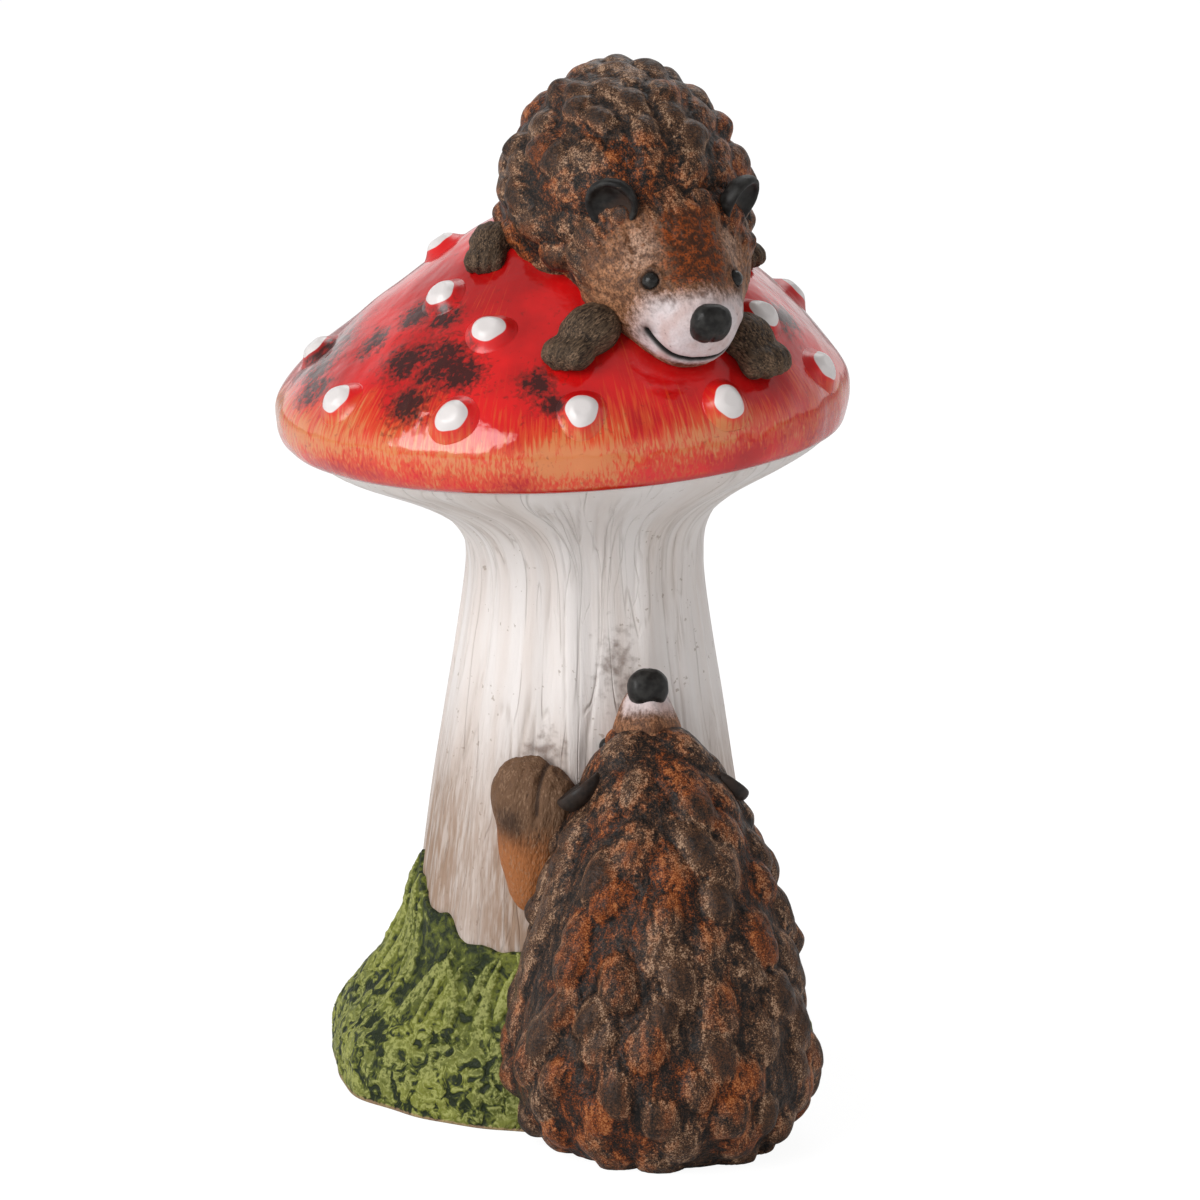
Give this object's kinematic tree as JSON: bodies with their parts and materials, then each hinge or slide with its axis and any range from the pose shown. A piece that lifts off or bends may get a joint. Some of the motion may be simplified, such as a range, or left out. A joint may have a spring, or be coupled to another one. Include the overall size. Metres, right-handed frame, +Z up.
{
  "type": "toadstool ornament",
  "caption": "Glazed toadstool garden ornament with a spotted dome cap on a creased stalk in a grass mound, a hedgehog lying on the cap and another climbing the stalk.",
  "frame": {"origin": "On the stalk's axis, in the plane of the floor that the ornament stands on.", "axes": "+Z up. The front, with the climbing hedgehog, faces -Y, and +X is to the viewer's right."},
  "size_m": [0.1528, 0.179, 0.2788],
  "materials": {
    "stalk": "satin off-white glaze with a brown wash in the creases",
    "grass": "satin green paint with yellow-green ridges",
    "glaze": "gloss red glaze with black blotches",
    "spot": "gloss white",
    "coat": "satin dark brown with rust patches, dry-brushed",
    "face": "satin, pinkish muzzle to rust brow",
    "paw": "satin grey-brown",
    "black": "satin black"
  },
  "bodies": {
    "root": {"stalk": "stalk", "grass_mound": "grass", "cap": "glaze", "cap_spot_01": "spot", "cap_spot_02": "spot", "cap_spot_03": "spot", "cap_spot_04": "spot", "cap_spot_05": "spot", "cap_spot_06": "spot", "cap_spot_07": "spot", "cap_spot_08": "spot", "cap_spot_09": "spot", "cap_spot_10": "spot", "cap_spot_11": "spot", "cap_spot_12": "spot", "cap_spot_13": "spot", "cap_spot_14": "spot", "cap_spot_15": "spot", "resting_coat": "coat", "resting_head": "face", "resting_nose": "black", "resting_left_eye": "black", "resting_right_eye": "black", "resting_left_ear": "black", "resting_right_ear": "black", "resting_left_front_paw": "paw", "resting_right_front_paw": "paw", "resting_left_hind_paw": "paw", "resting_right_hind_paw": "paw", "climbing_coat": "coat", "climbing_head": "face", "climbing_nose": "black", "climbing_left_eye": "black", "climbing_right_eye": "black", "climbing_left_ear": "black", "climbing_right_ear": "black", "climbing_left_arm": "paw", "climbing_right_arm": "paw"}
  },
  "joints": []
}
